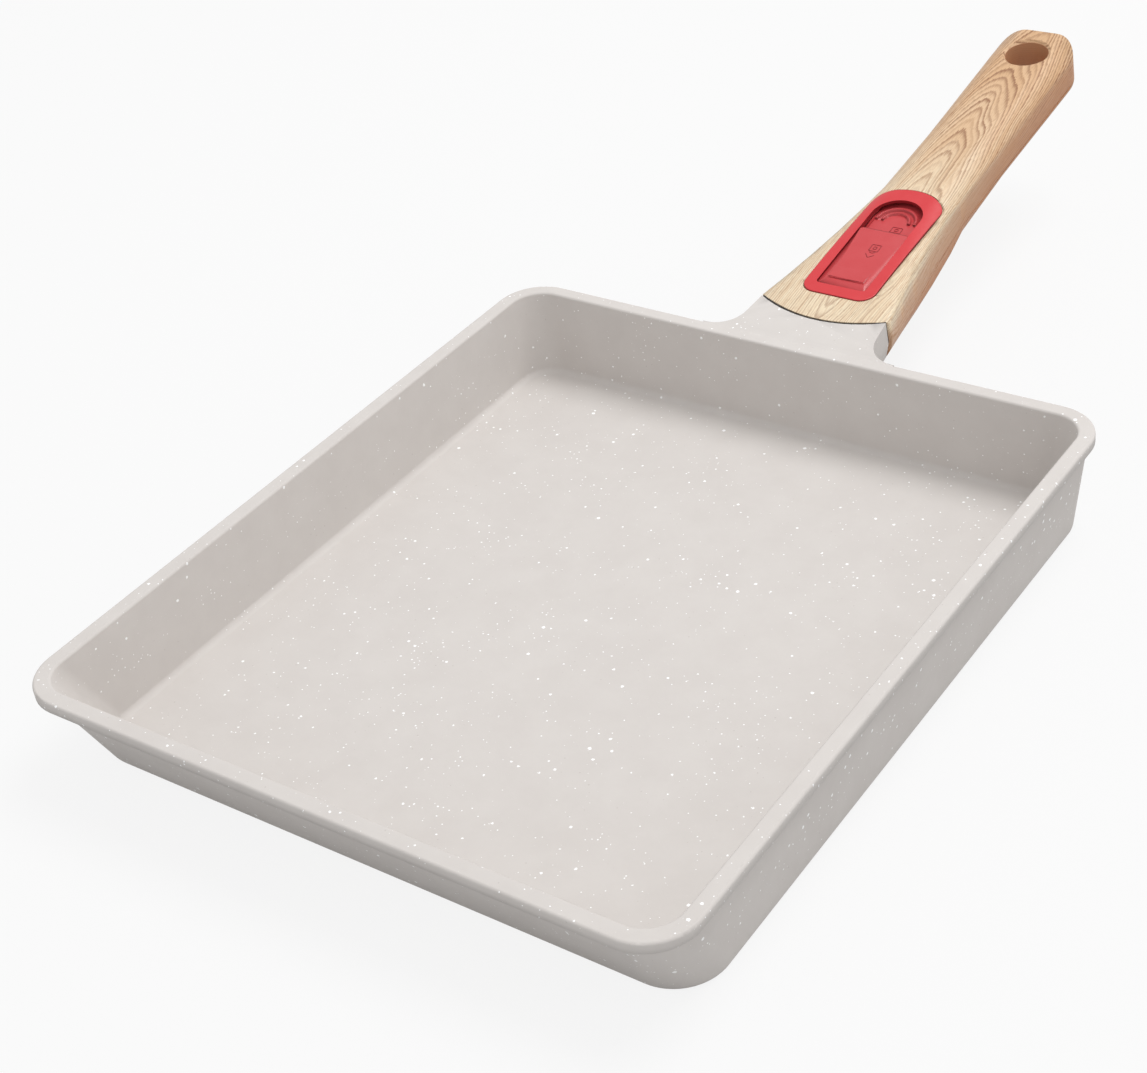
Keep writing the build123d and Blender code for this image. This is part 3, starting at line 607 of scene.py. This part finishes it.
class Finishes:
    """Every finish of the pan, each built once."""

    def __init__(self) -> None:
        """Build the materials."""
        self.coating = StoneCoating().build()
        self.wood = WoodPrint().build()
        self.bezel_red = MouldedPlastic("bezel_red", srgb(206, 50, 56), srgb(212, 60, 66)).build()
        self.slider_red = MouldedPlastic("slider_red", srgb(196, 62, 66), srgb(202, 73, 77)).build()
        # The signs' darker red is painted shade along their raised lines.
        self.sign_shade_red = MouldedPlastic("sign_shade_red", srgb(158, 36, 42), srgb(168, 44, 50)).build()
        # The collar's darker colour for steep faces is painted shade.
        self.black = MouldedPlastic(
            "collar_black", srgb(44, 40, 37), srgb(58, 54, 50), wall_shade=srgb(38, 34, 32), roughness=0.45
        ).build()
        self.steel = BareMetal("stamped_steel", srgb(200, 200, 202), 0.34, (2.5, 0.12, 2.5)).build()
        self.spring_steel = BareMetal(
            "drawn_spring_steel", srgb(176, 180, 186), 0.28, (3.0, 0.1, 3.0)
        ).build()
        self.casting = BareMetal("light_casting", srgb(186, 187, 189), 0.5, (1.6, 1.6, 1.6)).build()


def merged_copy(node: str, material: bpy.types.Material, body: Body,
                crease: float = 28.0) -> bpy.types.Object:
    """Make a smooth-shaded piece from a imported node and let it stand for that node.

    Args:
        node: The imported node's name.
        material: The piece's finish.
        body: The body that it rides on.
        crease: Edges sharper than this many degrees stay sharp.

    Returns:
        The new piece.
    """
    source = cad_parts[node].data
    shape = bmesh.new()
    shape.from_mesh(source)
    bmesh.ops.remove_doubles(shape, verts=shape.verts, dist=DOUBLES_GAP)
    bmesh.ops.dissolve_degenerate(shape, edges=shape.edges, dist=SLIVER_GAP)
    mesh = bpy.data.meshes.new(node + "_skin")
    shape.to_mesh(mesh)
    shape.free()
    mesh.polygons.foreach_set("use_smooth", [True] * len(mesh.polygons))
    mesh.set_sharp_from_angle(angle=math.radians(crease))
    mesh.materials.clear()
    mesh.materials.append(material)
    mesh.polygons.foreach_set("material_index", [0] * len(mesh.polygons))
    piece = bpy.data.objects.new(node + "_skin", mesh)
    bpy.context.scene.collection.objects.link(piece)
    even = piece.modifiers.new("even_normals", "WEIGHTED_NORMAL")
    even.keep_sharp = True
    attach(piece, body.value)
    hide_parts(node)
    log.info("%s: %d faces", piece.name, len(mesh.polygons))
    return piece


def dress_node(node: str, material: bpy.types.Material) -> None:
    """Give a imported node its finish.

    Args:
        node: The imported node's name.
        material: The finish.
    """
    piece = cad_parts[node]
    piece.data.materials.clear()
    piece.data.materials.append(material)
    log.info("%s dressed in %s", node, material.name)


@dataclass(frozen=True)
class CastPan:
    """The cast pan: tray, lip, neck and tongue, with its stone-effect coating."""

    node: str = "pan_body"
    slot: str = "granite_coating"
    crease: float = 26.0

    def build(self, finishes: Finishes) -> None:
        """Dress the casting.

        Args:
            finishes: The finishes to take from.
        """
        merged_copy(self.node, finishes.coating, Body.PAN, self.crease)


@dataclass(frozen=True)
class Grip:
    """Both shells of the grip and the black collar at its front."""

    shells: tuple[str, ...] = ("handle_upper_shell", "handle_bottom_cover")
    shell_slot: str = "wood_effect"
    collar: str = "front_collar"
    collar_slot: str = "black_plastic"

    def build(self, finishes: Finishes) -> None:
        """Dress shells and collar.

        Args:
            finishes: The finishes to take from.
        """
        for node in self.shells:
            merged_copy(node, finishes.wood, Body.HANDLE)
        merged_copy(self.collar, finishes.black, Body.HANDLE)


class ShapeTree(NodeBuilder):
    """A Geometry Nodes tree while it is being built, with its inputs' values."""

    def __init__(self, name: str, values: dict[str, Union[float, bpy.types.Material]]) -> None:
        """Start a tree that takes a mesh and one named input for each value.

        Args:
            name: Name of the piece that the tree makes.
            values: Input name to value. The piece's material is called Finish.
        """
        self.name = name
        self.values = values
        self.tree = bpy.data.node_groups.new(name + "_tree", "GeometryNodeTree")
        super().__init__(self.tree)
        face = self.tree.interface
        face.new_socket("Geometry", in_out="INPUT", socket_type="NodeSocketGeometry")
        for key, value in values.items():
            kind = "NodeSocketMaterial" if isinstance(value, bpy.types.Material) else "NodeSocketFloat"
            face.new_socket(key, in_out="INPUT", socket_type=kind)
        face.new_socket("Geometry", in_out="OUTPUT", socket_type="NodeSocketGeometry")
        self.given = self.add("NodeGroupInput").outputs

    def vector(self, x: Socket | None = None, y: Socket | None = None, z: Socket | None = None) -> Socket:
        """Put a vector together. A part that isn't given stays zero.

        Args:
            x: Its first part.
            y: Its second part.
            z: Its third part.

        Returns:
            The vector's socket.
        """
        parts = {index: value for index, value in enumerate((x, y, z)) if value is not None}
        return self.add("ShaderNodeCombineXYZ", parts).outputs[0]

    def times(self, value: Socket, factor: float) -> Socket:
        """The value times a factor."""
        return self.add("ShaderNodeMath", {0: value, 1: factor}, operation="MULTIPLY").outputs[0]

    def moved(self, shape: Socket, offset: Socket) -> Socket:
        """The shape, moved by an offset."""
        return self.add("GeometryNodeTransform", {"Geometry": shape, "Translation": offset}).outputs[0]

    def joined(self, shapes: Sequence[Socket]) -> Socket:
        """Join shapes into one.

        Args:
            shapes: The shapes.

        Returns:
            The joined shape's socket.
        """
        node = self.add("GeometryNodeJoinGeometry")
        for shape in shapes:
            self.links.new(shape, node.inputs[0])
        return node.outputs[0]

    def close(self, shape: Socket) -> None:
        """End the tree: make instances real and set the finish.

        Args:
            shape: The shape that the tree gives out.
        """
        solid = self.add("GeometryNodeRealizeInstances", {0: shape})
        coat = {"Geometry": solid.outputs[0], "Material": self.given["Finish"]}
        self.add("NodeGroupOutput", {0: self.add("GeometryNodeSetMaterial", coat).outputs[0]})

    def run(self, mesh: bpy.types.Mesh, crease: float = 35.0) -> bpy.types.Object:
        """Run the closed tree and keep what it makes as a plain mesh.

        Args:
            mesh: The mesh that feeds the tree.
            crease: Edges sharper than this many degrees stay sharp.

        Returns:
            The finished piece.
        """
        maker = bpy.data.objects.new(self.name + "_maker", mesh)
        bpy.context.scene.collection.objects.link(maker)
        modifier = maker.modifiers.new("shape", "NODES")
        modifier.node_group = self.tree
        for item in self.tree.interface.items_tree:
            if item.in_out == "INPUT" and item.name in self.values:
                modifier[item.identifier] = self.values[item.name]
        bpy.context.view_layer.update()
        evaluated = maker.evaluated_get(bpy.context.evaluated_depsgraph_get())
        shape = bpy.data.meshes.new_from_object(evaluated)
        shape.name = self.name
        shape.polygons.foreach_set("use_smooth", [True] * len(shape.polygons))
        shape.set_sharp_from_angle(angle=math.radians(crease))
        piece = bpy.data.objects.new(self.name, shape)
        bpy.context.scene.collection.objects.link(piece)
        bpy.data.objects.remove(maker)
        log.info("%s: %d faces", piece.name, len(shape.polygons))
        return piece


@dataclass(frozen=True)
class RidgeDrawing:
    """Lines on the handle that stand out of a face as round ridges.

    The lines lie in the handle's plane at one height, in millimetres, and are swept by a node tree.
    """

    name: str
    lines: tuple[Line, ...]
    height: float
    radius: float = 0.14
    corner: float = 0.25
    corner_steps: int = 4
    profile_sides: int = 10

    def wires(self) -> bpy.types.Mesh:
        """Lay edges along the lines.

        Returns:
            A mesh of edges in the row frame.
        """
        mesh = bpy.data.meshes.new(self.name + "_wires")
        corners: list[Vector] = []
        edges: list[tuple[int, int]] = []
        for line in self.lines:
            first = len(corners)
            closed = line[0] == line[-1]
            points = line[:-1] if closed else line
            corners += [AXES.place(across, along, self.height) for across, along in points]
            edges += [(first + index, first + index + 1) for index in range(len(points) - 1)]
            if closed:
                edges.append((len(corners) - 1, first))
        mesh.from_pydata(corners, edges, [])
        return mesh

    def build(self, material: bpy.types.Material, body: Body, slot: str) -> None:
        """Sweep a round profile along the lines.

        Args:
            material: The ridges' finish.
            body: The body that they ride on.
            slot: Not used.
        """
        values = {"Radius": self.radius * MM, "Corner": self.corner * MM, "Finish": material}
        tree = ShapeTree(self.name, values)
        curve = tree.add("GeometryNodeMeshToCurve", {"Mesh": tree.given["Geometry"]}).outputs[0]
        rounding = {"Curve": curve, "Radius": tree.given["Corner"], "Count": self.corner_steps}
        rounded = tree.add("GeometryNodeFilletCurve", rounding, mode="POLY").outputs[0]
        circle = {"Resolution": self.profile_sides, "Radius": tree.given["Radius"]}
        profile = tree.add("GeometryNodeCurvePrimitiveCircle", circle).outputs[0]
        sweep = {"Curve": rounded, "Profile Curve": profile, "Fill Caps": True}
        tree.close(tree.add("GeometryNodeCurveToMesh", sweep).outputs[0])
        piece = tree.run(self.wires())
        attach(piece, body.value)


def arc(centre: Point, radius: float, start: float, end: float, steps: int = 10) -> Line:
    """Points along an arc.

    Args:
        centre: The arc's centre.
        radius: Its radius.
        start: First angle in degrees, 0 across and 90 along the handle.
        end: Last angle in degrees.
        steps: Number of runs.

    Returns:
        The points.
    """
    angles = [math.radians(start + (end - start) * index / steps) for index in range(steps + 1)]
    return tuple((centre[0] + radius * math.cos(a), centre[1] + radius * math.sin(a)) for a in angles)


@dataclass(frozen=True)
class Padlock:
    """What both padlock signs share: a body with a keyhole, in millimetres on the slider."""

    middle: Point
    half_body: Point
    half_keyhole: Point
    shackle_radius: float

    def at(self, across: float, along: float) -> Point:
        """A place given from the padlock's middle."""
        return self.middle[0] + across, self.middle[1] + along

    def rectangle(self, half: Point) -> Line:
        """Draw a closed rectangle round the middle.

        Args:
            half: Half its size across and along the handle.

        Returns:
            The points, first and last alike.
        """
        x, y = half
        return self.at(-x, -y), self.at(x, -y), self.at(x, y), self.at(-x, y), self.at(-x, -y)

    def lines(self) -> tuple[Line, ...]:
        """Outlines of the body and of the keyhole."""
        return self.rectangle(self.half_body), self.rectangle(self.half_keyhole)


@dataclass(frozen=True)
class ClosedPadlock(Padlock):
    """The closed padlock, with the arrow towards the pan."""

    arrow: Line

    def lines(self) -> tuple[Line, ...]:
        """Draw body, keyhole, shackle and arrow.

        Returns:
            The lines.
        """
        shackle = arc(self.at(0.0, -self.half_body[1]), self.shackle_radius, 180, 360)
        return super().lines() + (shackle, tuple(self.at(*point) for point in self.arrow))


@dataclass(frozen=True)
class OpenPadlock(Padlock):
    """The open padlock, its shackle swung out to one side."""

    swung_centre: Point
    hinge_end: Point
    free_end: Point

    def lines(self) -> tuple[Line, ...]:
        """Draw body, keyhole and the swung shackle.

        Returns:
            The lines.
        """
        bow = arc(self.at(*self.swung_centre), self.shackle_radius, 0, -180)
        return super().lines() + ((self.at(*self.hinge_end),) + bow + (self.at(*self.free_end),),)


@dataclass(frozen=True)
class SliderPanel:
    """The red panel: bezel, lock slider, and the padlock signs raised on the slider."""

    bezel: str = "slider_bezel"
    button: str = "lock_button"
    slot: str = "red_plastic"
    block_level: float = -0.1
    hollow_level: float = -1.7
    closed_padlock: Padlock = ClosedPadlock(
        middle=(1.1, 46.5),
        half_body=(1.45, 1.5),
        half_keyhole=(0.45, 0.6),
        shackle_radius=0.9,
        arrow=((-1.5, -3.1), (-0.2, -4.7), (1.3, -3.3)),
    )
    open_padlock: Padlock = OpenPadlock(
        middle=(2.0, 58.1),
        half_body=(1.65, 1.25),
        half_keyhole=(0.5, 0.5),
        shackle_radius=1.1,
        swung_centre=(-3.2, -1.9),
        hinge_end=(-1.65, -0.9),
        free_end=(-4.3, -1.3),
    )

    def build(self, finishes: Finishes) -> None:
        """Dress bezel and slider and raise the signs.

        Args:
            finishes: The finishes to take from.
        """
        merged_copy(self.bezel, finishes.bezel_red, Body.HANDLE)
        merged_copy(self.button, finishes.slider_red, Body.SLIDER)
        signs = (
            RidgeDrawing("closed_padlock_sign", self.closed_padlock.lines(), self.block_level),
            RidgeDrawing("open_padlock_sign", self.open_padlock.lines(), self.hollow_level),
        )
        for sign in signs:
            sign.build(finishes.sign_shade_red, Body.SLIDER, self.slot)


@dataclass(frozen=True)
class CoverScrews:
    """Cross-recessed screws of the bottom cover, set on their places by a node tree.

    Lengths are in millimetres.
    """

    node: str = "cover_screws"
    name: str = "cover_screws_cut"
    stations: tuple[float, ...] = (98.0, 126.0)
    seat: float = -15.0
    head_radius: float = 2.7
    head_height: float = 1.5
    head_sides: int = 40
    crown_share: float = 0.87
    recess_width: float = 0.75
    recess_length: float = 2.9
    shaft_radius: float = 1.4
    shaft_length: float = 10.3
    shaft_sides: int = 24

    def places(self) -> bpy.types.Mesh:
        """Mark the middle of each head's underside.

        Returns:
            A mesh of points in the row frame.
        """
        mesh = bpy.data.meshes.new(self.name + "_places")
        mesh.from_pydata([AXES.place(0.0, station, self.seat) for station in self.stations], [], [])
        return mesh

    def cut_head(self, tree: ShapeTree) -> Socket:
        """Cut the cross into a head whose underside lies at the origin.

        Args:
            tree: The tree to build in.

        Returns:
            The head's socket.
        """
        size = tree.given
        below = tree.vector(z=tree.times(size["Head Height"], -1.0))
        cone = {
            "Vertices": self.head_sides,
            "Radius Bottom": size["Crown Radius"],
            "Radius Top": size["Head Radius"],
            "Depth": size["Head Height"],
        }
        head = tree.add("GeometryNodeMeshCone", cone).outputs["Mesh"]
        bars = []
        for across, along in (("Recess Width", "Recess Length"), ("Recess Length", "Recess Width")):
            block = tree.vector(size[across], size[along], size["Head Height"])
            bars.append(tree.add("GeometryNodeMeshCube", {"Size": block}).outputs[0])
        shapes = {"Mesh 1": tree.moved(head, below), "Mesh 2": tree.moved(tree.joined(bars), below)}
        return tree.add("GeometryNodeMeshBoolean", shapes, operation="DIFFERENCE").outputs["Mesh"]

    def screws(self, material: bpy.types.Material) -> ShapeTree:
        """Set a screw on every point.

        Args:
            material: The screws' finish.

        Returns:
            The closed node tree.
        """
        values = {
            "Head Radius": self.head_radius * MM,
            "Crown Radius": self.head_radius * self.crown_share * MM,
            "Head Height": self.head_height * MM,
            "Recess Width": self.recess_width * MM,
            "Recess Length": self.recess_length * MM,
            "Shaft Radius": self.shaft_radius * MM,
            "Shaft Length": self.shaft_length * MM,
            "Tilt": AXES.tilt,
            "Finish": material,
        }
        tree = ShapeTree(self.name, values)
        size = tree.given
        head = self.cut_head(tree)
        cylinder = {
            "Vertices": self.shaft_sides,
            "Radius": size["Shaft Radius"],
            "Depth": size["Shaft Length"],
        }
        shaft = tree.add("GeometryNodeMeshCylinder", cylinder).outputs["Mesh"]
        raised = tree.vector(z=tree.times(size["Shaft Length"], 0.5))
        screw = tree.joined([head, tree.moved(shaft, raised)])
        row = {"Points": size["Geometry"], "Instance": screw, "Rotation": tree.vector(x=size["Tilt"])}
        tree.close(tree.add("GeometryNodeInstanceOnPoints", row).outputs[0])
        return tree

    def build(self, finishes: Finishes) -> None:
        """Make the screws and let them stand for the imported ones.

        Args:
            finishes: The finishes to take from.
        """
        piece = self.screws(finishes.steel).run(self.places())
        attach(piece, Body.HANDLE.value)
        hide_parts(self.node)


@dataclass(frozen=True)
class LatchWorks:
    """What works inside the handle, seen once the handle is off or through its slots."""

    steel: tuple[str, ...] = (
        "socket_liner", "liner_pin", "guide_plate", "guide_screws", "anchor_screws", "anchor_washers",
        "latch_rivets", "detent_balls", "grip_core", "slider_yoke", "yoke_screws",
    )
    sprung: tuple[str, ...] = ("latch_spring", "detent_springs")
    cast: tuple[str, ...] = ("anchor_block",)

    def build(self, finishes: Finishes) -> None:
        """Dress every inner node.

        Args:
            finishes: The finishes to take from.
        """
        groups = (
            (self.steel, finishes.steel),
            (self.sprung, finishes.spring_steel),
            (self.cast, finishes.casting),
        )
        for nodes, finish in groups:
            for node in nodes:
                dress_node(node, finish)


@dataclass(frozen=True)
class Viewpoint:
    """The camera, fitted to the photograph."""

    azimuth: float = 38.898
    elevation: float = 35.084
    roll: float = -7.876
    distance: float = 606.4 * MM
    target: tuple[float, float, float] = (-30.37 * MM, 35.06 * MM, 0.0)
    lens: float = 68.54
    sensor: float = 36.0
    nearest: float = 0.01
    farthest: float = 20.0

    def build(self) -> None:
        """Place the camera and make it the scene's."""
        turn, lift, lean = (math.radians(angle) for angle in (self.azimuth, self.elevation, self.roll))
        back = Vector((math.sin(turn) * math.cos(lift), -math.cos(turn) * math.cos(lift), math.sin(lift)))
        right = (-back).cross(Vector((0.0, 0.0, 1.0))).normalized()
        up = right.cross(-back)
        leant_right = right * math.cos(lean) + up * math.sin(lean)
        leant_up = up * math.cos(lean) - right * math.sin(lean)
        data = bpy.data.cameras.new("photo_camera")
        data.lens = self.lens
        data.sensor_width = self.sensor
        data.sensor_fit = "HORIZONTAL"
        data.clip_start = self.nearest
        data.clip_end = self.farthest
        camera = bpy.data.objects.new("photo_camera", data)
        bpy.context.scene.collection.objects.link(camera)
        turned = Matrix((leant_right, leant_up, back)).transposed().to_4x4()
        camera.matrix_world = Matrix.Translation(Vector(self.target) + back * self.distance) @ turned
        bpy.context.scene.camera = camera


@dataclass(frozen=True)
class SoftLamp:
    """A large soft lamp aimed at the pan."""

    name: str
    place: tuple[float, float, float]
    size: float
    power: float
    aim: tuple[float, float, float] = (0.0, 0.05, 0.0)

    def build(self) -> None:
        """Place the lamp."""
        data = bpy.data.lights.new(self.name, "AREA")
        data.shape = "DISK"
        data.size = self.size
        data.energy = self.power
        lamp = bpy.data.objects.new(self.name, data)
        lamp.location = self.place
        lamp.rotation_euler = (Vector(self.aim) - Vector(self.place)).to_track_quat("-Z", "Y").to_euler()
        bpy.context.scene.collection.objects.link(lamp)


@dataclass(frozen=True)
class Studio:
    """Plain pale floor, soft lamps and an even white world."""

    floor_half: float = 3.0
    floor_drop: float = 0.05 * MM
    floor_tone: float = 0.62
    floor_glow_share: float = 0.86
    world_level: float = 0.66
    lamps: tuple[SoftLamp, ...] = (
        SoftLamp("overhead_lamp", (0.35, 0.6, 1.5), 1.0, 16.0),
        SoftLamp("front_fill_lamp", (0.9, -1.3, 0.9), 1.4, 1.5),
    )

    def floor(self) -> None:
        """Lay the floor: white to the camera, and it still takes the pan's shadow."""
        half = self.floor_half
        corners = [(-half, -half), (half, -half), (half, half), (-half, half)]
        mesh = bpy.data.meshes.new("studio_floor")
        mesh.from_pydata([(x, y, -self.floor_drop) for x, y in corners], [], [(0, 1, 2, 3)])
        tree = ShaderTree(bpy.data.materials.new("floor_white"))
        matte = tree.add("BsdfDiffuse", {"Color": (self.floor_tone,) * 3})
        glow = tree.add("Emission", {"Color": WHITE, "Strength": 1.0})
        seen = tree.add("LightPath")
        direct = tree.math("MAXIMUM", seen.outputs["Is Camera Ray"], seen.outputs["Is Glossy Ray"])
        direct = tree.math("MAXIMUM", direct, seen.outputs["Is Transmission Ray"])
        share = tree.math("MULTIPLY", direct, self.floor_glow_share)
        mixed = tree.add("MixShader", {0: share, 1: matte.outputs[0], 2: glow.outputs[0]})
        tree.add("OutputMaterial", {"Surface": mixed.outputs[0]})
        mesh.materials.append(tree.owner)
        floor = bpy.data.objects.new("studio_floor", mesh)
        bpy.context.scene.collection.objects.link(floor)

    def world(self) -> None:
        """Set the even world, white to the camera."""
        world = bpy.data.worlds.new("studio_world")
        tree = ShaderTree(world)
        seen = tree.add("LightPath").outputs["Is Camera Ray"]
        level = tree.add("Mix", {0: seen, 2: self.world_level, 3: 1.0}, data_type="FLOAT").outputs[0]
        glow = tree.add("Background", {"Color": WHITE, "Strength": level})
        tree.add("OutputWorld", {"Surface": glow.outputs[0]})
        bpy.context.scene.world = world

    def build(self) -> None:
        """Build floor, world and lamps."""
        self.floor()
        self.world()
        for lamp in self.lamps:
            lamp.build()


def main() -> None:
    """Build the pan's looks, the studio and the camera."""
    logging.basicConfig(level=logging.INFO, format="%(message)s")
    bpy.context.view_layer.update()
    bpy.context.scene.view_settings.view_transform = "Standard"
    finishes = Finishes()
    for part in (CastPan(), Grip(), SliderPanel(), CoverScrews(), LatchWorks()):
        log.info("building %s", type(part).__name__)
        part.build(finishes)
    Studio().build()
    Viewpoint().build()


if __name__ == "__main__":
    main()
